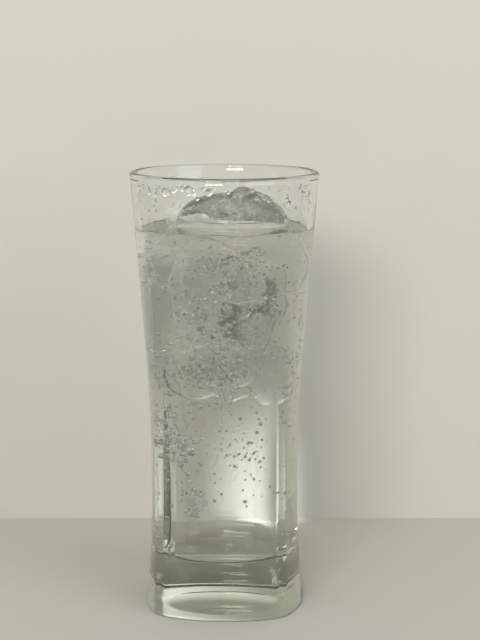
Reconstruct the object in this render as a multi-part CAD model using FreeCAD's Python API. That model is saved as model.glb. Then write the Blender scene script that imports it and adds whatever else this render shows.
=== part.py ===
import FreeCAD, Part
import math
import os
from FreeCAD import Vector

# Tall tumbler of sparkling water with a lump of ice standing out of it.
# Frame: millimetres, +Z up, origin at the middle of the underside, -Y is the front panel.

# ---------------------------------------------------------------- driving sizes
height = 150.0          # underside to the top of the rim

# outer body: round above, four bulged panels between four corner facets below
waist_half = 25.05      # asymptotic half width across the panels below the taper
taper = 0.0822          # growth of the half width per mm of height above the knee
knee_z = 64.4           # height where the straight taper runs out
knee_soft = 14.0        # softness of that change
flare = 2.45            # extra half width of the heavy base at the underside
flare_z = 45.0          # height where the base starts to flare
flare_power = 2.26
corner_r = 29.45        # radius of the facet edges; the round body takes over where it is wider
corner_flare = 0.85     # extra corner radius at the underside
corner_blend = 0.6      # softness of the change from facets to round
facet_half = 2.1        # half width of each corner facet
round_from = 126.0      # facets are gone above this height
heel = 1.3              # rounding where the base meets the table
foot_ring = 9.0         # width of the flat ring the glass stands on
punt = 1.7              # depth of the shallow hollow under the base

# wall, cavity and rim
wall_top = 2.2          # wall under the rim bead
wall_low = 3.5          # wall just above the floor, in the middle of a panel
floor_z = 18.0          # lowest point of the cavity
floor_dish = 0.6        # rise of the floor from its middle to its fillet
floor_fillet = 3.0      # rounding between floor and wall
bead_h = 2.0            # height of the fire-polished bead
bead_out = 0.12         # how far the bead stands out of the wall, outside
bead_in = 0.26          # and inside
crown_flat = 0.12       # half width of the flat land on the crown

# drink
water_z = 131.1         # level of the water
meniscus = 0.2          # climb of the water up the wall
meniscus_w = 0.8        # width of that climb

# ice lump that stands out of the water
ice_mid = Vector(2.1, 8.0, 125.0)
ice_half = (19.7, 12.8, 16.8)   # half sizes along X, Y, Z
ice_round = 2.7                 # superellipsoid exponent, 2 is an ellipsoid
crag_z = 145.8                  # top of the frosted crag
crag_x = 5.8                    # where that top stands along X
crag_y = 1.6                    # and along Y
ice_steps = (40, 20)            # facets round and up the lump


# ---------------------------------------------------------------- section functions
def soft_ramp(t, s):
    return 0.5 * (t + math.sqrt(t * t + s * s))


def base_flare(z):
    return max(0.0, (flare_z - z) / flare_z) ** flare_power


def upper_half(z):
    return waist_half + taper * soft_ramp(z - knee_z, knee_soft)


def panel_half(z):
    """Distance from the axis to the middle of a panel."""
    return upper_half(z) + flare * base_flare(z)


def edge_radius(z):
    """Distance from the axis to the edges of a corner facet."""
    a, b = panel_half(z), corner_r + corner_flare * base_flare(z)
    k = corner_blend
    return max(a, b) + max(k - abs(a - b), 0.0) ** 2 / (4.0 * k)


def facet_bulge(z, r):
    """Sagitta of the facet: that of the round body above, nearly flat below."""
    full = r - math.sqrt(r * r - facet_half ** 2)
    t = min(1.0, max(0.0, (z - (round_from - 18.0)) / 18.0))
    return 0.012 + (full - 0.012) * t * t * (3.0 - 2.0 * t)


def wall(z):
    return wall_top + (wall_low - wall_top) * (1.0 - z / height)


def cavity_r(z):
    return upper_half(z) - wall(z)


def outer_wire(z, inset=0.0):
    """Closed wire of four panel arcs and four facet arcs at height z."""
    w = panel_half(z) - inset
    r = edge_radius(z) - inset
    half = math.asin(facet_half / r)
    mid = math.sqrt(r * r - facet_half ** 2) + facet_bulge(z, r)
    edges = []
    for k in range(4):
        a = k * math.pi / 2.0
        lo, hi = a - math.pi / 4.0 + half, a + math.pi / 4.0 - half
        nxt = a + math.pi / 4.0 + half

        def at(rad, ang):
            return Vector(rad * math.cos(ang), rad * math.sin(ang), z)

        edges.append(Part.Arc(at(r, lo), at(w, a), at(r, hi)).toShape())
        edges.append(Part.Arc(at(r, hi), at(mid, a + math.pi / 4.0), at(r, nxt)).toShape())
    return Part.Wire(edges)


# ---------------------------------------------------------------- glass
def rim_profile():
    """Outer and inner half of the fire-polished bead, as (radius, height) pairs from its crown down."""
    z1 = height - 0.5 * bead_h
    ro, ri = panel_half(z1) + bead_out, cavity_r(z1) - bead_in
    mid, half = 0.5 * (ro + ri), 0.5 * (ro - ri)
    drop = 0.5 * bead_h
    out, inn = [], []
    for k in range(1, 7):
        a = math.radians(90.0 * k / 6.0)
        x, y = half * math.sin(a), drop * (1.0 - math.cos(a))
        out.append((mid + crown_flat + (x * (half - crown_flat) / half), height - y))
        inn.append((mid - crown_flat - (x * (half - crown_flat) / half), height - y))
    return mid, out, inn


def bead_share(z):
    """1 at the widest of the bead, 0 where it has run into the wall."""
    t = (height - 0.5 * bead_h - z) / (0.75 * bead_h)
    return max(0.0, 1.0 - t) ** 2 * (1.0 + 2.0 * max(0.0, t)) if t > 0 else 1.0


def lower_body():
    """The faceted part, from the foot up to where the body is round."""
    levels = [heel, 4.5, 8.0, 12.0, 17.0, 23.0, 31.0, 40.0, 50.0, 60.0, 70.0, 80.0, 91.0, 102.0,
              108.0, 113.0, 117.0, 121.0, round_from]
    body = Part.makeLoft([outer_wire(z) for z in levels], True, False)
    foot = Part.makeLoft([outer_wire(0.0, heel), outer_wire(heel * 0.29, heel * 0.29), outer_wire(heel)],
                         True, True)
    return body.fuse(foot)


def upper_ring():
    """The round part of the wall, from there over the bead and back down inside."""
    out = [Vector(panel_half(z), 0, z) for z in (round_from, 130.0, 134.0, 138.0, 142.0)]
    inn = [Vector(cavity_r(z), 0, z) for z in (round_from, 130.0, 134.0, 138.0, 142.0)]
    for z in [height - bead_h * k for k in (1.5, 1.05, 0.8, 0.65)]:
        out.append(Vector(panel_half(z) + bead_out * bead_share(z), 0, z))
        inn.append(Vector(cavity_r(z) - bead_in * bead_share(z), 0, z))
    mid, crown_out, crown_in = rim_profile()
    out += [Vector(r, 0, z) for r, z in crown_out[::-1]] + [Vector(mid + crown_flat, 0, height)]
    inn += [Vector(r, 0, z) for r, z in crown_in[::-1]] + [Vector(mid - crown_flat, 0, height)]
    return revolve([spline(out), line(out[-1], inn[-1]), spline(inn[::-1]), line(inn[0], out[0])])


def revolve(edges):
    """Solid of revolution about Z of the region that the edges close, with its faces turned outwards."""
    solid = Part.Face(Part.Wire(edges)).revolve(Vector(0, 0, 0), Vector(0, 0, 1), 360)
    solid = Part.Solid(solid.Shells[0])
    if solid.Volume < 0:
        solid.reverse()
    return solid


def spline(points):
    curve = Part.BSplineCurve()
    curve.interpolate(points)
    return curve.toShape()


def line(a, b):
    return Part.LineSegment(a, b).toShape()


def floor_edges():
    """From the axis along the dished floor and up its fillet to the wall."""
    z_wall = floor_z + floor_dish + floor_fillet
    r_wall = cavity_r(z_wall)
    r_flat = r_wall - floor_fillet
    z_flat = floor_z + floor_dish
    floor = Part.Arc(Vector(0, 0, floor_z), Vector(r_flat * 0.5, 0, floor_z + floor_dish * 0.26),
                     Vector(r_flat, 0, z_flat)).toShape()
    k = math.sqrt(0.5)
    fillet = Part.Arc(Vector(r_flat, 0, z_flat),
                      Vector(r_flat + floor_fillet * k, 0, z_flat + floor_fillet * (1.0 - k)),
                      Vector(r_wall, 0, z_wall)).toShape()
    return [floor, fillet], z_wall


def wall_points(z0, z1, n):
    out = []
    for i in range(n + 1):
        z = z0 + (z1 - z0) * i / n
        out.append(Vector(cavity_r(z), 0, z))
    return out


def cavity(top):
    """The space inside, from the floor up to the height top."""
    edges, z_wall = floor_edges()
    side = wall_points(z_wall, round_from, 12)
    edges.append(spline(side))
    edges.append(line(side[-1], Vector(side[-1].x, 0, top)))
    edges.append(line(Vector(side[-1].x, 0, top), Vector(0, 0, top)))
    edges.append(line(Vector(0, 0, top), Vector(0, 0, floor_z)))
    return revolve(edges)


def make_glass():
    body = lower_body().cut(cavity(round_from + 3.0)).fuse(upper_ring())
    # shallow hollow under the base, a spherical cap inside the foot ring
    r_p = panel_half(0) - heel - foot_ring
    r_s = (r_p ** 2 + punt ** 2) / (2.0 * punt)
    body = body.cut(Part.makeSphere(r_s, Vector(0, 0, punt - r_s)))
    body = body.removeSplitter()
    return body.Solids[0] if len(body.Solids) == 1 else body


# ---------------------------------------------------------------- ice
def crag_lift(x, y):
    """Height of the broken crag over the top of the lump, from ridges that run down to the left."""
    ridge = crag_y - 0.25 * abs(x - crag_x)
    along = x - crag_x
    line = (crag_z - ice_mid.z - ice_half[2] + 0.25) * math.exp(-(along / 3.6) ** 2)
    line += 0.8 * math.exp(-((along + 6.5) / 4.5) ** 2) + 0.4 * math.sin(1.9 * x) * math.exp(-(along / 13.0) ** 2)
    return max(0.0, line) * math.exp(-((y - ridge) / 3.4) ** 2)


def ice_point(i, j):
    """Point of the lump at step i round and j up."""
    n, m = ice_steps
    az = 2.0 * math.pi * (i % n) / n
    el = math.pi * (j / m - 0.5)
    d = Vector(math.cos(el) * math.cos(az), math.cos(el) * math.sin(az), math.sin(el))
    s = sum((abs(c) / h) ** ice_round for c, h in zip((d.x, d.y, d.z), ice_half)) ** (-1.0 / ice_round)
    # melted hollows and humps
    s *= 1.0 + 0.018 * math.sin(2.0 * az + 1.3 + 1.7 * el) + 0.014 * math.sin(3.0 * az - 2.6 * el)
    p = ice_mid + d * s
    if el > 0.15:
        p.z += crag_lift(p.x, p.y)
    return p


def make_ice():
    n, m = ice_steps
    pts = {(i, j): ice_point(i, j) for i in range(n) for j in range(1, m)}
    low, top = ice_point(0, 0), ice_point(0, m)
    faces = []

    def tri(a, b, c):
        faces.append(Part.Face(Part.makePolygon([a, b, c, a])))

    for i in range(n):
        k = (i + 1) % n
        tri(low, pts[(k, 1)], pts[(i, 1)])
        tri(top, pts[(i, m - 1)], pts[(k, m - 1)])
        for j in range(1, m - 1):
            tri(pts[(i, j)], pts[(k, j)], pts[(k, j + 1)])
            tri(pts[(i, j)], pts[(k, j + 1)], pts[(i, j + 1)])
    shell = Part.Shell(faces)
    solid = Part.Solid(shell)
    if solid.Volume < 0:
        solid.reverse()
    return solid


# ---------------------------------------------------------------- water
def make_water(ice):
    """The cavity filled to the level shown, a small climb at the wall, round the ice."""
    edges, z_wall = floor_edges()
    top = water_z + meniscus
    edges.append(spline(wall_points(z_wall, top, 12)))
    r_top = cavity_r(top)
    n = 7
    surf = []
    for k in range(n + 1):
        t = k / n
        surf.append(Vector(r_top - meniscus_w * t, 0, water_z + meniscus * (1.0 - t) ** 2.6))
    edges.append(spline(surf))
    edges.append(line(surf[-1], Vector(0, 0, water_z)))
    edges.append(line(Vector(0, 0, water_z), Vector(0, 0, floor_z)))
    return revolve(edges).cut(ice)


def check(name, shape):
    b = shape.BoundBox
    print("%-8s valid=%s solids=%d faces=%d volume=%.1f cm3  x %.2f..%.2f  y %.2f..%.2f  z %.2f..%.2f" % (
        name, shape.isValid(), len(shape.Solids), len(shape.Faces), shape.Volume / 1000.0,
        b.XMin, b.XMax, b.YMin, b.YMax, b.ZMin, b.ZMax))


os.makedirs("parts", exist_ok=True)
glass = make_glass()
ice = make_ice()
water = make_water(ice)
for name, shape in (("glass", glass), ("water", water), ("ice", ice)):
    check(name, shape)
    solid = shape.Solids[0] if len(shape.Solids) == 1 else shape
    solid.exportStep("parts/%s.step" % name)
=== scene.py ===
import math
import random

import bpy
import numpy as np
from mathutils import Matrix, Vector, noise


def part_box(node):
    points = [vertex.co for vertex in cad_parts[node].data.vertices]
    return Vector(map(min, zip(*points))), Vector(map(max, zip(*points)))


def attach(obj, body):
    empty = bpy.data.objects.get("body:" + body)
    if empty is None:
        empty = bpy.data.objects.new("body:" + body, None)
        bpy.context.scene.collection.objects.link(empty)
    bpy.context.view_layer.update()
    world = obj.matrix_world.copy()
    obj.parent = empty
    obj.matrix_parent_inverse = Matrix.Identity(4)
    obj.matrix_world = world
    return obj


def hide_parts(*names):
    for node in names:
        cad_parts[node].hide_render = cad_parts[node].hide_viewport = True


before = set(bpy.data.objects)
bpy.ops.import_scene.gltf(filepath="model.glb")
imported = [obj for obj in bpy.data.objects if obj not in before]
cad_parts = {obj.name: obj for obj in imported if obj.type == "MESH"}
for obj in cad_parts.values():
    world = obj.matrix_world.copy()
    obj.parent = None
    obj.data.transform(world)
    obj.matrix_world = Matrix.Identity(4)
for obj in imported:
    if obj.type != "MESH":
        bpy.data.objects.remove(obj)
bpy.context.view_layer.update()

MM = 0.001
BODY = "root"

# ------------------------------------------------------------------ sizes of the tumbler, millimetres
G_LO, G_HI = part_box("glass")
HEIGHT = G_HI[2] / MM
WAIST_HALF, TAPER, KNEE_Z, KNEE_SOFT = 25.05, 0.0822, 64.4, 14.0
FLARE, FLARE_Z, FLARE_POWER = 2.45, 45.0, 2.26
CORNER_R, CORNER_FLARE, CORNER_BLEND = 29.45, 0.85, 0.6
FACET_HALF, ROUND_FROM = 2.1, 126.0
HEEL, FOOT_RING, PUNT = 1.3, 9.0, 1.7
WALL_TOP, WALL_LOW = 2.2, 3.5
FLOOR_Z, FLOOR_DISH, FLOOR_FILLET = 18.0, 0.6, 3.0
BEAD_H, BEAD_OUT, BEAD_IN, CROWN_FLAT = 2.0, 0.11, 0.26, 0.12
WATER_Z, MENISCUS, MENISCUS_W = 131.1, 0.5, 1.4


def soft_ramp(t, s):
    return 0.5 * (t + math.sqrt(t * t + s * s))


def base_flare(z):
    return max(0.0, (FLARE_Z - z) / FLARE_Z) ** FLARE_POWER


def upper_half(z):
    return WAIST_HALF + TAPER * soft_ramp(z - KNEE_Z, KNEE_SOFT)


def panel_half(z):
    return upper_half(z) + FLARE * base_flare(z)


def edge_radius(z):
    a, b = panel_half(z), CORNER_R + CORNER_FLARE * base_flare(z)
    k = CORNER_BLEND
    return max(a, b) + max(k - abs(a - b), 0.0) ** 2 / (4.0 * k)


def facet_bulge(z, r):
    full = r - math.sqrt(r * r - FACET_HALF ** 2)
    t = min(1.0, max(0.0, (z - (ROUND_FROM - 18.0)) / 18.0))
    return 0.012 + (full - 0.012) * t * t * (3.0 - 2.0 * t)


def cavity_r(z):
    return upper_half(z) - (WALL_TOP + (WALL_LOW - WALL_TOP) * (1.0 - z / 150.0))


def arc_polar(phi, r, half, mid):
    """Radius at angle phi of the arc through (r, +-half) and (mid, 0), all in polar form."""
    den = 2.0 * (mid - r * math.cos(half))
    if abs(mid * mid - r * r) < 1e-9 or abs(den) < 1e-9:
        return np.full_like(phi, r)
    cx = (mid * mid - r * r) / den
    rho = mid - cx
    return cx * np.cos(phi) + np.sqrt(np.maximum(rho * rho - (cx * np.sin(phi)) ** 2, 0.0))


FINE = 1440
FINE_A = np.arange(FINE) * 2.0 * math.pi / FINE


def outer_section(z, inset=0.0, soften=0.75):
    """Radius of the outer body at height z on the fine ring of angles, its edges fire-polished."""
    w = panel_half(z) - inset
    r = edge_radius(z) - inset
    half = math.asin(FACET_HALF / r)
    mid = math.sqrt(r * r - FACET_HALF ** 2) + facet_bulge(z, r)
    a = (FINE_A + math.pi / 4.0) % (math.pi / 2.0) - math.pi / 4.0      # from the middle of a panel
    b = FINE_A % (math.pi / 2.0) - math.pi / 4.0                        # from the middle of a facet
    rad = np.where(np.abs(b) > half, arc_polar(a, r, math.pi / 4.0 - half, w), arc_polar(b, r, half, mid))
    if soften > 0:
        k = int(round(4 * soften / 0.25))
        x = np.arange(-k, k + 1) * 0.25
        g = np.exp(-0.5 * (x / soften) ** 2)
        g /= g.sum()
        rad = np.convolve(np.concatenate([rad[-k:], rad, rad[:k]]), g, mode="valid")
    return rad


# ring of angles: close together round the four facets
def ring_angles():
    out = []
    for k in range(4):
        c = k * math.pi / 2.0 + math.pi / 4.0
        out += [c + math.radians(d) for d in np.arange(-9.0, 9.01, 0.6)]
        out += [c + math.radians(d) for d in np.linspace(9.0, 81.0, 27)[1:-1]]
    return np.array(sorted(v % (2.0 * math.pi) for v in out))


ANG = ring_angles()
N_RING = len(ANG)


def on_ring(rad):
    return np.interp(ANG, np.append(FINE_A, 2.0 * math.pi), np.append(rad, rad[0]))


def ring(rad, z):
    """Ring of points, millimetres, from a radius or radii and a height or heights."""
    rad = np.broadcast_to(np.asarray(rad, float), ANG.shape)
    z = np.broadcast_to(np.asarray(z, float), ANG.shape)
    return np.stack([rad * np.cos(ANG), rad * np.sin(ANG), z], 1)


def link(obj):
    bpy.context.scene.collection.objects.link(obj)
    return obj


def mesh_object(name, verts, faces, smooth=True):
    me = bpy.data.meshes.new(name)
    me.from_pydata([tuple(v) for v in np.asarray(verts) * MM], [], faces)
    me.validate()
    if smooth:
        me.polygons.foreach_set("use_smooth", [True] * len(me.polygons))
    me.update()
    return link(bpy.data.objects.new(name, me))


def skin(name, rings, pole_first=None, pole_last=None, smooth=True):
    """Closed skin through rings of equal length, with a pole at either end."""
    n = len(rings[0])
    verts = [p for r in rings for p in r]
    faces = []
    for k in range(len(rings) - 1):
        a, b = k * n, (k + 1) * n
        for i in range(n):
            j = (i + 1) % n
            faces.append((a + i, a + j, b + j, b + i))
    if pole_first is not None:
        verts.append(pole_first)
        c = len(verts) - 1
        faces += [(c, (i + 1) % n, i) for i in range(n)]
    if pole_last is not None:
        verts.append(pole_last)
        c, a = len(verts) - 1, (len(rings) - 1) * n
        faces += [(c, a + i, a + (i + 1) % n) for i in range(n)]
    return mesh_object(name, verts, faces, smooth)


def bead_share(z):
    t = (150.0 - 0.5 * BEAD_H - z) / (0.75 * BEAD_H)
    return max(0.0, 1.0 - t) ** 2 * (1.0 + 2.0 * max(0.0, t)) if t > 0 else 1.0


def lathe_inner(z0, z1, n, extra=0.0):
    return [(cavity_r(z) + extra, z) for z in np.linspace(z0, z1, n)]


def floor_profile(n_floor=14, n_fillet=12, extra=0.0):
    """(radius, height) along the dished floor and its fillet, axis first."""
    z_wall = FLOOR_Z + FLOOR_DISH + FLOOR_FILLET
    r_wall = cavity_r(z_wall)
    r_flat, z_flat = r_wall - FLOOR_FILLET, FLOOR_Z + FLOOR_DISH
    out = []
    for t in np.linspace(0.0, 1.0, n_floor + 1)[1:]:
        out.append((r_flat * t + 0.0, FLOOR_Z + FLOOR_DISH * t * t - extra))
    for k in range(1, n_fillet + 1):
        a = math.radians(90.0 * k / n_fillet)
        out.append((r_flat + (FLOOR_FILLET + extra) * math.sin(a),
                    z_flat + FLOOR_FILLET - (FLOOR_FILLET + extra) * math.cos(a)))
    return out, z_wall


# ------------------------------------------------------------------ the tumbler
def build_glass():
    rings = []
    # underside: hollow, foot ring
    r_p = panel_half(0) - HEEL - FOOT_RING
    r_s = (r_p ** 2 + PUNT ** 2) / (2.0 * PUNT)
    for t in np.linspace(0.0, 1.0, 12)[1:]:
        r = r_p * t
        rings.append(ring(r, PUNT - r_s + math.sqrt(r_s * r_s - r * r)))
    sole = on_ring(outer_section(0.0, HEEL))
    for t in (0.08, 0.3, 0.6, 0.85, 0.97):
        rings.append(ring(r_p + (sole - r_p) * t, 0.0))
    # heel
    for k in range(7):
        a = math.radians(90.0 * k / 6.0)
        rings.append(ring(on_ring(outer_section(HEEL * (1.0 - math.cos(a)), HEEL * (1.0 - math.sin(a)))),
                          HEEL * (1.0 - math.cos(a))))
    # outer wall
    levels = list(np.concatenate([np.linspace(2.0, 30.0, 24), np.linspace(31.5, 100.0, 40), np.linspace(101.5, 128.0, 24),
                                  np.linspace(130.0, 145.4, 10)]))
    for z in levels:
        rings.append(ring(on_ring(outer_section(z)), z))
    # bead
    z1 = 150.0 - 0.5 * BEAD_H
    for z in np.linspace(146.2, z1 - 0.18, 9):
        rings.append(ring(on_ring(outer_section(z)) + BEAD_OUT * bead_share(z), z))
    ro, ri = panel_half(z1) + BEAD_OUT, cavity_r(z1) - BEAD_IN
    mid, half, drop = 0.5 * (ro + ri), 0.5 * (ro - ri), 0.5 * BEAD_H
    for k in range(0, 9):
        a = math.radians(90.0 * (8 - k) / 8.0)
        x = math.sin(a)
        rings.append(ring(mid + CROWN_FLAT + x * (half - CROWN_FLAT), 150.0 - drop * (1.0 - math.cos(a))))
    for k in range(0, 9):
        a = math.radians(90.0 * k / 8.0)
        x = math.sin(a)
        rings.append(ring(mid - CROWN_FLAT - x * (half - CROWN_FLAT), 150.0 - drop * (1.0 - math.cos(a))))
    for z in np.linspace(z1 - 0.18, 146.2, 9):
        rings.append(ring(cavity_r(z) - BEAD_IN * bead_share(z), z))
    prof, z_wall = floor_profile()
    for z in np.concatenate([np.linspace(145.2, 130.0, 9), np.linspace(128.0, z_wall + 1.2, 46)]):
        rings.append(ring(cavity_r(z), z))
    for r, z in prof[::-1]:
        rings.append(ring(r, z))
    return skin("tumbler", rings, (0, 0, PUNT), (0, 0, FLOOR_Z))


# ------------------------------------------------------------------ the water
def build_water():
    reach = 0.06
    prof, z_wall = floor_profile(extra=reach)
    rings = [ring(r, z) for r, z in prof]
    top = WATER_Z + MENISCUS
    for z in np.linspace(z_wall + 1.2, WATER_Z - 3.0, 60):
        rings.append(ring(cavity_r(z) + reach, z))
    r_top = cavity_r(top)
    # the water climbs the wall unevenly, following a noise round the rim
    climb = np.array([max(0.02, MENISCUS * (0.55 + 1.5 * noise.noise(Vector((4.2 * math.cos(a), 4.2 * math.sin(a), 0.5)))
                                          + 0.8 * noise.noise(Vector((11.0 * math.cos(a), 11.0 * math.sin(a), 2.5)))))
                      for a in ANG])
    for t in np.linspace(0.0, 1.0, 8)[1:]:
        z = WATER_Z - 3.0 + (3.0 + climb) * t
        rings.append(ring(cavity_r(WATER_Z) + TAPER * (z - WATER_Z) * 0.9 + reach, z))
    for t in np.linspace(0.0, 1.0, 12)[1:]:
        rings.append(ring(r_top - MENISCUS_W * t, WATER_Z + climb * (1.0 - t) ** 2.2))
    for t in np.linspace(1.0, 0.0, 14)[1:-1]:
        rings.append(ring((r_top - MENISCUS_W) * t, WATER_Z))
    return skin("water_body", rings, (0, 0, FLOOR_Z - reach), (0, 0, WATER_Z))


# ------------------------------------------------------------------ shapes shared by ice, bubbles and droplets
def ico(level):
    """Unit icosphere as arrays of vertices and triangles."""
    g = (1.0 + math.sqrt(5.0)) / 2.0
    v = [(-1, g, 0), (1, g, 0), (-1, -g, 0), (1, -g, 0), (0, -1, g), (0, 1, g), (0, -1, -g), (0, 1, -g),
         (g, 0, -1), (g, 0, 1), (-g, 0, -1), (-g, 0, 1)]
    f = [(0, 11, 5), (0, 5, 1), (0, 1, 7), (0, 7, 10), (0, 10, 11), (1, 5, 9), (5, 11, 4), (11, 10, 2), (10, 7, 6),
         (7, 1, 8), (3, 9, 4), (3, 4, 2), (3, 2, 6), (3, 6, 8), (3, 8, 9), (4, 9, 5), (2, 4, 11), (6, 2, 10),
         (8, 6, 7), (9, 8, 1)]
    v = [Vector(p).normalized() for p in v]
    for _ in range(level):
        mid, out = {}, []

        def half(a, b):
            key = (min(a, b), max(a, b))
            if key not in mid:
                v.append(((v[a] + v[b]) / 2.0).normalized())
                mid[key] = len(v) - 1
            return mid[key]

        for a, b, c in f:
            ab, bc, ca = half(a, b), half(b, c), half(c, a)
            out += [(a, ab, ca), (b, bc, ab), (c, ca, bc), (ab, bc, ca)]
        f = out
    return np.array([tuple(p) for p in v]), np.array(f)


ICO = {k: ico(k) for k in (1, 2, 3, 4, 5)}


def gather(name, parts, smooth=True):
    """One mesh out of many (vertices, faces) pairs in millimetres."""
    verts, faces, n = [], [], 0
    for v, f in parts:
        verts.append(v)
        faces.append(f + n)
        n += len(v)
    return mesh_object(name, np.vstack(verts), [tuple(int(i) for i in t) for t in np.vstack(faces)], smooth)


def inside_cavity(p, gap):
    """True where a point with that clearance is in the water."""
    x, y, z = p
    if z > WATER_Z - 0.25 - gap or z < FLOOR_Z + FLOOR_DISH + gap + 0.1:
        return False
    r = cavity_r(z)
    low = FLOOR_Z + FLOOR_DISH + FLOOR_FILLET
    if z < low:
        d = low - z
        r = r - FLOOR_FILLET + math.sqrt(max(FLOOR_FILLET ** 2 - d * d, 0.0))
    return math.hypot(x, y) < r - gap


def fbm(p, scale, octaves=4):
    return noise.fractal(Vector(p) * scale, 0.9, 2.0, octaves, noise_basis="PERLIN_ORIGINAL")


# ------------------------------------------------------------------ ice
ICE_LO, ICE_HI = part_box("ice")
ICE_MID = ((ICE_LO[0] + ICE_HI[0]) / 2 / MM, (ICE_LO[1] + ICE_HI[1]) / 2 / MM)


def lump_radius(d, half, power):
    return sum((abs(c) / h) ** power for c, h in zip(d, half)) ** (-1.0 / power)


def lump(mid, half, power, level, seed, rough, melt, turn=0.0, tilt=0.0):
    """Melted block: superellipsoid with hollows and fine ripples."""
    v, f = ICO[level]
    out = []
    ct, st = math.cos(turn), math.sin(turn)
    cb, sb = math.cos(tilt), math.sin(tilt)
    off = Vector((seed * 13.1, seed * 7.7, seed * 3.3))
    for d in v:
        s = lump_radius(d, half, power)
        p = Vector(d) * s
        s2 = 1.0 + melt * noise.noise(p * 0.085 + off) + rough * fbm(p + off * 3, 0.35, 3)
        x, y, z = p * s2
        y, z = y * cb - z * sb, y * sb + z * cb
        out.append((mid[0] + x * ct - y * st, mid[1] + x * st + y * ct, mid[2] + z))
    return np.array(out), f


def build_cap():
    """The clear dome that stands out of the water, closed just under the level."""
    n_az, n_up = 144, 44
    z0 = WATER_Z - 0.25
    top = CAP_TOP
    rings = []
    for j in range(n_up):
        t = j / (n_up - 1.0)
        el = t * math.pi / 2.0 * 0.985
        pts = []
        for i in range(n_az):
            az = 2.0 * math.pi * i / n_az
            c, s = math.cos(az), math.sin(az)
            r = (abs(c / CAP_HALF[0]) ** 2.4 + abs(s / CAP_HALF[1]) ** 2.4) ** (-1.0 / 2.4)
            k = max(math.cos(el), 0.0) ** 0.78
            h = math.sin(el) ** 1.02
            p = Vector((CAP_MID[0] + r * k * c, CAP_MID[1] + r * k * s, z0 + (top - z0) * h))
            w = min(1.0, t * 4.0)
            bump = 0.55 * noise.noise(p * 0.10 + Vector((3, 1, 7))) + 0.10 * fbm(p, 0.45, 2)
            q = Vector((c * k, s * k, h)) * bump
            pts.append((p.x + q.x, p.y + q.y, max(z0, p.z + q.z * w) if j else z0))
        rings.append(np.array(pts))
    n = n_az
    verts = [tuple(p) for r in rings for p in r]
    faces = []
    for k in range(len(rings) - 1):
        a, b = k * n, (k + 1) * n
        for i in range(n):
            j = (i + 1) % n
            faces.append((a + i, a + j, b + j, b + i))
    c0 = len(verts)
    verts.append((CAP_MID[0], CAP_MID[1], z0))
    faces += [(c0, (i + 1) % n, i) for i in range(n)]
    c1 = len(verts)
    last = rings[-1]
    verts.append(tuple(last.mean(0) + np.array((0, 0, 0.05))))
    a = (len(rings) - 1) * n
    faces += [(c1, a + i, a + (i + 1) % n) for i in range(n)]
    return mesh_object("ice_dome", verts, faces)


CAP_MID, CAP_HALF, CAP_TOP = (2.1, 8.0), (19.9, 13.0), 141.6
RIDGE = ((-15.0, 135.0), (-13.7, 136.1), (-8.2, 137.2), (-5.0, 137.9), (-2.4, 139.4), (0.4, 141.2), (2.8, 143.0), (4.6, 144.7),
         (5.8, 146.1), (7.2, 144.4), (9.9, 142.9), (15.0, 140.4), (18.4, 137.0), (20.4, 133.2))
FOOT = ((-15.0, 134.4), (-9.0, 135.9), (-6.4, 135.6), (-4.8, 134.6), (-3.0, 134.0), (10.0, 133.6), (15.0, 133.0), (21.0, 132.0))


def dome_front(x, z):
    """Y of the front of the dome at that place; clamped beyond its outline."""
    z0 = WATER_Z - 0.25
    h = min(max((z - z0) / (CAP_TOP - z0), 0.0), 0.93)
    k = math.cos(math.asin(h)) ** 0.78
    u = min(abs(x - CAP_MID[0]) / (CAP_HALF[0] * k), 1.0)
    return CAP_MID[1] - CAP_HALF[1] * k * (1.0 - u ** 2.4) ** (1.0 / 2.4)


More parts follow.
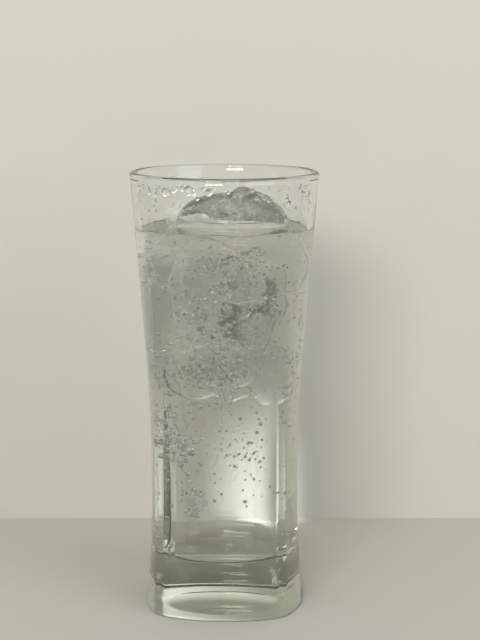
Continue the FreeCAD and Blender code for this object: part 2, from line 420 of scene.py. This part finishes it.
def build_crag():
    """The frosted, broken front of the lump: a jagged ridge with facets down to the water."""
    xs = np.linspace(-14.8, 20.2, 118)
    n_up = 30
    front, back = [], []
    for x in xs:
        zr = float(np.interp(x, [p[0] for p in RIDGE], [p[1] for p in RIDGE]))
        zr += 0.30 * noise.noise(Vector((x * 0.9, 2.2, 0.0))) + 0.25 * noise.noise(Vector((x * 2.3, 5.2, 1.0)))
        zr = min(zr, 146.0)
        zf = float(np.interp(x, [p[0] for p in FOOT], [p[1] for p in FOOT]))
        if zf > WATER_Z:
            zf += 0.3 * noise.noise(Vector((x * 1.4, 12.0, 4.0)))
        zf = min(zf, zr - 0.7)
        end = min(1.0, (x + 15.2) / 2.0, (20.8 - x) / 2.5)
        colf, colb = [], []
        for j in range(n_up):
            t = j / (n_up - 1.0)
            z = zf + (zr - zf) * t
            y = dome_front(x, z)
            w = min(1.0, 5.0 * t + 0.4, 6.0 * (1.0 - t) + 0.25) * end
            cell = noise.cell_vector(Vector((x * 0.38 + 0.22 * z, z * 0.40 - 0.1 * x, 1.0)))
            d = 0.75 + 0.75 * fbm((x, z, 4.0), 0.30, 4) + 1.0 * (cell.x - 0.5) + 0.30 * noise.noise(Vector((x * 1.9, z * 1.9, 8.0)))
            lean = 0.45 * max(0.0, z - 141.5)
            colf.append((x, y - w * max(d, 0.12) + 0.0 * lean, z))
            thick = 0.25 + 1.5 * (1.0 - t) ** 0.7 * end + 0.5 * end
            colb.append((x, y + thick + 0.2 * noise.noise(Vector((x * 1.1, z * 1.1, 20.0))), z))
        front.append(colf)
        back.append(colb)
    verts, faces = [], []
    m = len(xs)
    w = 2 * n_up
    for c in range(m):
        verts += front[c]
        verts += back[c]

    def F(c, j):
        return c * w + j

    def B(c, j):
        return c * w + n_up + j

    for c in range(m - 1):
        for j in range(n_up - 1):
            faces.append((F(c, j), F(c + 1, j), F(c + 1, j + 1), F(c, j + 1)))
            faces.append((B(c + 1, j), B(c, j), B(c, j + 1), B(c + 1, j + 1)))
        faces.append((F(c + 1, 0), F(c, 0), B(c, 0), B(c + 1, 0)))
        faces.append((F(c, n_up - 1), F(c + 1, n_up - 1), B(c + 1, n_up - 1), B(c, n_up - 1)))
    for j in range(n_up - 1):
        faces.append((F(0, j), F(0, j + 1), B(0, j + 1), B(0, j)))
        faces.append((F(m - 1, j + 1), F(m - 1, j), B(m - 1, j), B(m - 1, j + 1)))
    return mesh_object("ice_crag", verts, faces, smooth=False)


def build_sunk():
    """Blocks of ice below the level, each a closed melted lump."""
    blocks = [((2.1, 7.6, 119.6), (19.4, 12.6, 11.2), 2.9, 1, 0.014, 0.30, 0.0, 0.06),
              ((-3.5, -8.5, 113.5), (10.5, 8.6, 11.5), 3.2, 2, 0.022, 0.52, 0.35, 0.20),
              ((10.0, -9.8, 106.5), (8.6, 7.8, 11.0), 3.0, 3, 0.022, 0.55, -0.25, -0.12),
              ((-1.8, 2.5, 90.0), (13.0, 10.5, 12.5), 3.2, 4, 0.020, 0.55, 0.20, 0.18),
              ((-9.5, -8.0, 84.0), (8.8, 8.0, 9.0), 3.0, 5, 0.022, 0.55, 0.6, 0.1),
              ((9.0, -8.5, 82.0), (8.5, 8.0, 10.0), 3.0, 6, 0.022, 0.55, -0.4, 0.15)]
    parts = []
    for mid, half, power, seed, rough, melt, turn, tilt in blocks:
        v, f = lump(mid, half, power, 5 if seed in (1, 4) else 4, seed, rough, melt, turn, tilt)
        r = np.hypot(v[:, 0], v[:, 1])
        lim = np.array([cavity_r(z) for z in v[:, 2]]) - 0.55
        k = np.minimum(1.0, lim / np.maximum(r, 1e-6))
        v[:, 0] *= k
        v[:, 1] *= k
        v[:, 2] = np.minimum(v[:, 2], WATER_Z - 0.55)
        parts.append((v, f))
    return gather("ice_sunk", parts)


def build_cracks():
    """Thin air flaws and frosty specks inside the ice: closed flakes, grouped as the clouds they make."""
    rng = random.Random(11)
    clouds = [  # middle, spread, how many, size range, mean normal
        ((4.6, -19.6, 102.6), (3.2, 1.3, 4.8), 170, (0.6, 1.5), (0.1, -1, 0.9)),
        ((15.4, -16.5, 111.8), (1.6, 1.2, 3.6), 60, (0.5, 1.2), (0.6, -1, 0.6)),
        ((12.6, -17.5, 106.0), (3.4, 1.2, 1.6), 60, (0.5, 1.1), (0.2, -1, 0.8)),
        ((3.9, -20.5, 115.5), (4.4, 1.3, 3.0), 90, (0.4, 1.1), (0.0, -1, 0.5)),
        ((1.0, -18.5, 86.5), (6.4, 1.6, 4.6), 150, (0.5, 1.3), (-0.1, -1, 0.8)),
        ((-9.2, -9.2, 82.5), (4.2, 2.0, 3.4), 80, (0.3, 0.9), (-0.4, -1, 0.3)),
        ((-1.5, -14.5, 121.5), (4.0, 1.2, 1.6), 40, (0.35, 1.1), (-0.3, -1, 0.8)),
        ((8.5, 2.0, 96.0), (7.0, 4.0, 12.0), 150, (0.3, 0.9), (0, -1, 0.4)),
        ((-7.0, 3.0, 100.0), (6.0, 4.0, 14.0), 130, (0.3, 0.9), (0, -1, 0.4)),
        ((3.0, 10.0, 118.0), (9.0, 4.0, 6.0), 120, (0.3, 0.9), (0, 1, 0.4))]
    v0, f0 = ICO[1]
    parts = []
    for mid, spread, count, size, normal in clouds:
        nrm = Vector(normal).normalized()
        k = 0
        while k < count:
            p = Vector([mid[a] + rng.gauss(0.0, spread[a] * 0.62) for a in range(3)])
            s = rng.uniform(*size) * rng.uniform(0.5, 1.0)
            if not inside_cavity(p, s + 0.3):
                k += 1
                continue
            n = (nrm + Vector([rng.gauss(0, 0.55) for _ in range(3)])).normalized()
            u = n.orthogonal().normalized()
            u = (u * math.cos(k) + n.cross(u) * math.sin(k)).normalized()
            w = n.cross(u)
            thin, long = rng.uniform(0.10, 0.30), rng.uniform(0.7, 1.8)
            pts = []
            for d in v0:
                q = 1.0 + 0.35 * (rng.random() - 0.5)
                pts.append(tuple(p + (u * d[0] * long + w * d[1] * 0.8) * s * q + n * d[2] * s * thin))
            parts.append((np.array(pts), f0))
            k += 1
    return gather("ice_flaws", parts)


# ------------------------------------------------------------------ bubbles
def build_bubbles():
    """Gas bubbles: on the wall, on the ice and rising; three sizes of sphere."""
    rng = random.Random(23)
    groups = {"bubbles_fine": [], "bubbles_mid": [], "bubbles_large": []}

    def put(p, r):
        if not inside_cavity(p, r + 0.08):
            return False
        kind = "bubbles_fine" if r < 0.45 else ("bubbles_mid" if r < 1.0 else "bubbles_large")
        v, f = ICO[{"bubbles_fine": 1, "bubbles_mid": 2, "bubbles_large": 3}[kind]]
        sq = 1.0 if r < 0.5 else 0.92
        groups[kind].append((v * np.array((r, r, r * sq)) + np.array(p), f))
        return True

    def on_wall(az, z, r):
        d = cavity_r(z) - r - 0.12
        return (d * math.sin(az), -d * math.cos(az), z)

    # on the wall: azimuth from the front (right is positive, degrees), height, spreads, number, radius range
    walls = [(-58, 64, 14, 9, 60, (0.35, 1.0)), (-38, 60, 14, 8, 46, (0.45, 1.25)), (76, 84, 7, 24, 74, (0.35, 0.80)),
             (62, 80, 8, 12, 30, (0.3, 0.7)), (-82, 74, 8, 12, 34, (0.3, 0.7)), (-30, 106, 16, 8, 22, (0.25, 0.6)),
             (0, 98, 17, 20, 120, (0.30, 0.85)), (-4, 84, 17, 8, 70, (0.35, 0.95)), (70, 42, 9, 14, 60, (0.22, 0.6)),
             (-72, 44, 9, 14, 50, (0.22, 0.6)), (-46, 84, 16, 7, 44, (0.3, 0.8)), (4, 118, 30, 7, 22, (0.2, 0.5)), (-24, 41, 9, 5, 40, (0.25, 0.75)),
             (20, 60, 24, 10, 44, (0.22, 0.6)), (0, 50, 40, 12, 46, (0.2, 0.5))]
    for az, z, d_az, d_z, count, size in walls:
        for _ in range(count):
            r = size[0] + (size[1] - size[0]) * rng.random() ** 1.8
            a = math.radians(az + rng.gauss(0, d_az * 0.6))
            put(on_wall(a, z + rng.gauss(0, d_z * 0.6), r), r)
    # round the rest of the wall
    for _ in range(330):
        r = 0.2 + 0.6 * rng.random() ** 2.2
        put(on_wall(math.radians(rng.uniform(50, 310)), rng.uniform(24, 128), r), r)
    # clinging to the ice and rising off it
    clouds = [((1.0, -14.5, 94.0), (9, 3, 13), 130, (0.2, 0.62)), ((3.0, -12.5, 112.0), (8, 3, 7), 46, (0.2, 0.5)),
              ((0.0, -2.0, 66.0), (12, 8, 16), 60, (0.18, 0.5)), ((0.0, 6.0, 100.0), (14, 9, 20), 120, (0.2, 0.55)),
              ((-9.0, -15.5, 38.0), (3.2, 2.5, 4.4), 90, (0.2, 0.6))]
    for mid, spread, count, size in clouds:
        for _ in range(count):
            r = size[0] + (size[1] - size[0]) * rng.random() ** 2.0
            put(tuple(mid[a] + rng.gauss(0, spread[a] * 0.6) for a in range(3)), r)
    # on the floor of the glass
    for _ in range(70):
        r = 0.25 + 0.5 * rng.random() ** 2
        a, d = rng.uniform(0, 2 * math.pi), 18.0 * math.sqrt(rng.random())
        put((d * math.cos(a), d * math.sin(a), FLOOR_Z + FLOOR_DISH + r + 0.15), r)
    # the few large ones
    for az, z, r in ((-27.5, 57.2, 1.55), (-38, 63.5, 1.05), (-44, 61.0, 1.1), (60, 87, 1.0), (-50, 71, 1.0), (8, 101, 1.0)):
        put(on_wall(math.radians(az), z, r), r)
    return [gather(name, parts) for name, parts in groups.items()]


# ------------------------------------------------------------------ droplets above the water
def build_droplets():
    """Beads of water on the inside of the wall: flattened caps that reach just into it."""
    rng = random.Random(5)
    drops = []
    # azimuth from the front, height, radius: the larger ones as they hang
    named = [(-18.5, 146.3, 1.5), (-22.4, 146.9, 0.85), (-15.6, 145.2, 0.7), (-26.8, 146.9, 0.7), (-13.0, 143.6, 0.6),
             (-6.0, 145.9, 1.2), (-9.4, 146.6, 0.6), (6.5, 145.6, 0.55), (10.0, 144.4, 0.5), (24.0, 143.6, 0.6), (-50, 144.9, 0.75), (-44, 144.2, 0.6), (-35.5, 145.3, 1.2), (-32, 145.3, 0.6),
             (-62, 145.6, 0.8), (-57, 146.4, 0.65), (-29.0, 148.0 - 1.9, 0.8), (21.5, 146.2, 0.62), (29.5, 143.4, 0.6),
             (33, 142.8, 0.7), (48.5, 141.4, 0.9), (47.0, 142.6, 0.55), (58, 145.6, 0.7), (63, 143.8, 0.9), (68, 142.4, 0.75),
             (66, 146.0, 0.6), (-52, 138.2, 0.55), (-62, 134.9, 0.85), (-76, 142.5, 0.8), (-71, 146.0, 0.6), (55, 139.3, 0.5),
             (74, 140.4, 0.6), (-40.5, 146.7, 0.55), (13.5, 144.6, 0.45),
             # on the back wall
             (205.5, 143.0, 1.1), (201.0, 144.1, 0.8), (209.0, 143.9, 0.9), (212.5, 141.9, 0.7), (199.2, 141.6, 0.7),
             (207.5, 140.7, 0.8), (194.0, 140.2, 1.2), (214.5, 143.6, 0.8), (221.0, 145.4, 0.8), (176.0, 141.9, 0.6),
             (163.0, 143.1, 0.6), (150.0, 141.4, 0.7), (225.0, 140.1, 1.3), (233.0, 141.6, 0.7), (240.0, 140.7, 0.6)]
    drops += [(math.radians(a), z, 1.15 * r) for a, z, r in named]
    for _ in range(46):
        a = math.radians(rng.uniform(-85, 85))
        drops.append((a, rng.uniform(134.5, 146.2), 0.18 + 0.35 * rng.random() ** 2))
    for _ in range(80):
        a = math.radians(rng.uniform(85, 275))
        drops.append((a, rng.uniform(134.0, 146.4), 0.22 + 0.8 * rng.random() ** 2.4))
    parts = []
    for az, z, r in drops:
        v0, f0 = ICO[3 if r > 0.55 else 2]
        out = Vector((math.sin(az), -math.cos(az), 0.0))
        side = Vector((math.cos(az), math.sin(az), 0.0))
        share = bead_share(z)
        wall_r = cavity_r(z) - BEAD_IN * share
        sag = rng.uniform(0.0, 0.18)
        pts = []
        for d in v0:
            x, y, u = d
            # y points into the glass; the back is pressed flat on the wall
            depth = -y * 0.62 if y < 0 else -y * 0.10
            dx, dz = x * r, u * r * (1.06 if u < 0 else 0.95) - sag * r
            rad = wall_r - depth * r
            if y >= 0:
                rad = wall_r + min(0.06, 0.10 * y * r)
            ang = dx / wall_r
            p = (out * math.cos(ang) + side * math.sin(ang)) * rad
            pts.append((p.x, p.y, z + dz))
        parts.append((np.array(pts), f0[:, ::-1]))
    return gather("droplets", parts)


glass = build_glass()
water = build_water()
cap, crag, sunk, flaws = build_cap(), build_crag(), build_sunk(), build_cracks()
fine, mid_b, large = build_bubbles()
drops = build_droplets()
for piece, node in ((glass, "glass"), (water, "water"), (cap, "ice"), (crag, "ice"), (sunk, "ice"), (flaws, "ice")):
    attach(piece, BODY)
    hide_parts(node)
for piece in (fine, mid_b, large, drops):
    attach(piece, BODY)


# ------------------------------------------------------------------ materials
def material(name):
    m = bpy.data.materials.new(name)
    m.use_nodes = True
    nt = m.node_tree
    return m, nt, nt.nodes["Principled BSDF"], nt.nodes["Material Output"]


def grain(nt, scale, detail=3.0, rough=0.5):
    co = nt.nodes.new("ShaderNodeTexCoord")
    n = nt.nodes.new("ShaderNodeTexNoise")
    n.inputs["Scale"].default_value = scale
    n.inputs["Detail"].default_value = detail
    n.inputs["Roughness"].default_value = rough
    nt.links.new(co.outputs["Object"], n.inputs["Vector"])
    return n


def spread(nt, source, lo, hi, a=0.3, b=0.7):
    m = nt.nodes.new("ShaderNodeMapRange")
    m.inputs["From Min"].default_value = a
    m.inputs["From Max"].default_value = b
    m.inputs["To Min"].default_value = lo
    m.inputs["To Max"].default_value = hi
    nt.links.new(source, m.inputs["Value"])
    return m.outputs["Result"]


def tinted(nt, p, source, dark, light):
    r = nt.nodes.new("ShaderNodeValToRGB")
    r.color_ramp.elements[0].position, r.color_ramp.elements[0].color = 0.3, (*dark, 1)
    r.color_ramp.elements[1].position, r.color_ramp.elements[1].color = 0.7, (*light, 1)
    nt.links.new(source, r.inputs["Fac"])
    nt.links.new(r.outputs["Color"], p.inputs["Base Color"])


def bumped(nt, p, source, strength, distance):
    b = nt.nodes.new("ShaderNodeBump")
    b.inputs["Strength"].default_value = strength
    b.inputs["Distance"].default_value = distance
    nt.links.new(source, b.inputs["Height"])
    nt.links.new(b.outputs["Normal"], p.inputs["Normal"])


def clear(name, dark, light, ior, rough, scale, bump, distance, transmission=1.0, detail=3.0):
    """Transparent material with colour, gloss and surface that vary with a noise."""
    m, nt, p, out = material(name)
    p.inputs["Transmission Weight"].default_value = transmission
    p.inputs["IOR"].default_value = ior
    n = grain(nt, scale, detail)
    tinted(nt, p, n.outputs["Fac"], dark, light)
    nt.links.new(spread(nt, n.outputs["Fac"], *rough), p.inputs["Roughness"])
    bumped(nt, p, n.outputs["Fac"], bump, distance)
    return m, nt, p, out


def absorb(nt, out, colour, density):
    v = nt.nodes.new("ShaderNodeVolumeAbsorption")
    v.inputs["Color"].default_value = (*colour, 1)
    v.inputs["Density"].default_value = density
    nt.links.new(v.outputs[0], out.inputs["Volume"])


m_glass, nt, p, out = clear("clear_glass", (0.975, 0.985, 0.98), (1, 1, 1), 1.5, (0.0, 0.012), 75.0, 0.4, 0.0001)
absorb(nt, out, (0.74, 0.760, 0.70), 38.0)
m_water, nt, p, out = clear("sparkling_water", (0.97, 0.98, 0.975), (1, 1, 1), 1.33, (0.0, 0.01), 55.0, 0.15, 0.00008)
# the water's grey absorption is partly a haze tint and partly painted shade: it darkens the water body the way the
# shadowed backdrop seen through it darkens it
absorb(nt, out, (0.62, 0.620, 0.570), 19.0)
m_dome, nt, p, out = clear("clear_ice", (0.96, 0.975, 0.98), (1, 1, 1), 1.31, (0.0, 0.025), 260.0, 0.12, 0.00012)
m_sunk, nt, p, out = clear("sunk_ice", (0.95, 0.96, 0.955), (1, 1, 1), 0.972, (0.0, 0.14), 120.0, 0.55, 0.0008)
m_crag, nt, p, out = clear("frosted_ice", (0.27, 0.265, 0.24), (0.93, 0.925, 0.885), 1.31, (0.03, 0.34), 330.0, 0.8, 0.0006, 0.93, 5.0)
# the flaws are real air pockets, but the grey end of their colour is painted shade: it darkens the flaw clouds, which
# real air flaws get from total reflection
m_flaw, nt, p, out = clear("ice_flaw", (0.36, 0.36, 0.33), (1, 1, 1), 0.76, (0.0, 0.14), 130.0, 0.4, 0.0002)
# the bubbles' 20 per cent near-white diffuse share is painted highlight: it lightens them where their reflections of a
# bright room would
m_bubble, nt, p, out = clear("gas_bubble_painted_highlight", (0.95, 0.95, 0.94), (1, 1, 1), 0.752, (0.0, 0.03), 300.0, 0.05, 0.00002, 0.80)
m_drop, nt, p, out = clear("droplet", (0.98, 0.985, 0.985), (1, 1, 1), 1.33, (0.0, 0.01), 300.0, 0.05, 0.00002)
for piece, m in ((glass, m_glass), (water, m_water), (cap, m_dome), (crag, m_crag), (sunk, m_sunk), (flaws, m_flaw),
                 (fine, m_bubble), (mid_b, m_bubble), (large, m_bubble), (drops, m_drop)):
    piece.data.materials.append(m)


# ------------------------------------------------------------------ stage, light, camera
UNDER = -0.00005       # the floor lies this far under the foot


def plane(name, pts, colour, rough=0.8):
    me = bpy.data.meshes.new(name)
    me.from_pydata([tuple(p) for p in pts], [], [tuple(range(len(pts)))])
    o = link(bpy.data.objects.new(name, me))
    m, nt, p, out = material(name)
    p.inputs["Base Color"].default_value = (*colour, 1)
    p.inputs["Roughness"].default_value = rough
    p.inputs["Specular IOR Level"].default_value = 0.15
    o.data.materials.append(m)
    return o


AZ = math.radians(3.5)


def turned(x, y, z):
    return Vector((x * math.cos(AZ) - y * math.sin(AZ), x * math.sin(AZ) + y * math.cos(AZ), z))


plane("floor", [turned(-1.5, -1.5, UNDER), turned(1.5, -1.5, UNDER), turned(1.5, 1.5, UNDER), turned(-1.5, 1.5, UNDER)], (0.50, 0.485, 0.42))
backdrop = plane("backdrop", [turned(-0.22, 0.099, UNDER), turned(0.22, 0.099, UNDER), turned(0.22, 0.099, 0.42), turned(-0.22, 0.099, 0.42)], (0.585, 0.58, 0.51))

# the backdrop is a front only: from behind it isn't there, so the back of the glass can be looked at
nt = backdrop.data.materials[0].node_tree
side = nt.nodes.new("ShaderNodeNewGeometry")
through = nt.nodes.new("ShaderNodeBsdfTransparent")
either = nt.nodes.new("ShaderNodeMixShader")
nt.links.new(side.outputs["Backfacing"], either.inputs[0])
nt.links.new(nt.nodes["Principled BSDF"].outputs[0], either.inputs[1])
nt.links.new(through.outputs[0], either.inputs[2])
nt.links.new(either.outputs[0], nt.nodes["Material Output"].inputs["Surface"])

world = bpy.data.worlds.new("world")
bpy.context.scene.world = world
world.use_nodes = True
world.node_tree.nodes["Background"].inputs["Color"].default_value = (0.96, 0.98, 1.0, 1)
world.node_tree.nodes["Background"].inputs["Strength"].default_value = 0.36


def area(name, loc, target, size, power, colour=(1, 1, 1)):
    d = bpy.data.lights.new(name, "AREA")
    d.shape = "RECTANGLE"
    d.size, d.size_y = size
    d.energy = power
    d.color = colour
    o = link(bpy.data.objects.new(name, d))
    o.location = loc
    o.rotation_euler = (Vector(target) - Vector(loc)).to_track_quat("-Z", "Y").to_euler()
    return o


area("key", turned(-0.26, -1.1, 0.66), (0, 0, 0.08), (0.45, 0.35), 7.8, (1.0, 0.985, 0.95))
area("fill", turned(0.9, -0.8, 0.6), (0, 0, 0.08), (0.8, 0.8), 4.2, (0.95, 0.97, 1.0))

area("top", turned(0.0, -0.45, 1.1), (0, 0, 0.1), (1.2, 0.8), 3.5, (0.97, 0.985, 1.0))
area("strip", turned(-0.1, -0.75, 1.25), (0, 0, 0.14), (1.5, 0.07), 2.5, (0.93, 0.97, 1.0))

spot = bpy.data.lights.new("glow", "SPOT")
spot.energy = 150.0
spot.color = (0.90, 0.95, 1.0)
spot.spot_size = math.radians(2.4)
spot.spot_blend = 1.0
spot.shadow_soft_size = 0.01
glow = link(bpy.data.objects.new("glow", spot))
glow.location = turned(0.011, -0.25, 0.78)
glow.rotation_euler = (turned(0.011, 0.098, 0.0125) - glow.location).to_track_quat("-Z", "Y").to_euler()

cam_data = bpy.data.cameras.new("camera")
cam = link(bpy.data.objects.new("camera", cam_data))
F_PX, CAM_H, CAM_D, PITCH, SIDE = 1750.0, 0.1995, 0.5922, 9.65, 0.0053
cam_data.sensor_width = 36.0
cam_data.lens = 36.0 * F_PX / 640.0
cam.location = turned(SIDE, -CAM_D, CAM_H)
cam.rotation_euler = (math.radians(90.0 - PITCH), 0.0, AZ)
cam_data.clip_start, cam_data.clip_end = 0.05, 20.0
sc = bpy.context.scene
sc.camera = cam
sc.cycles.max_bounces = 32
sc.cycles.transmission_bounces = 32
sc.cycles.glossy_bounces = 8
sc.cycles.transparent_max_bounces = 16
sc.view_settings.view_transform = "Standard"
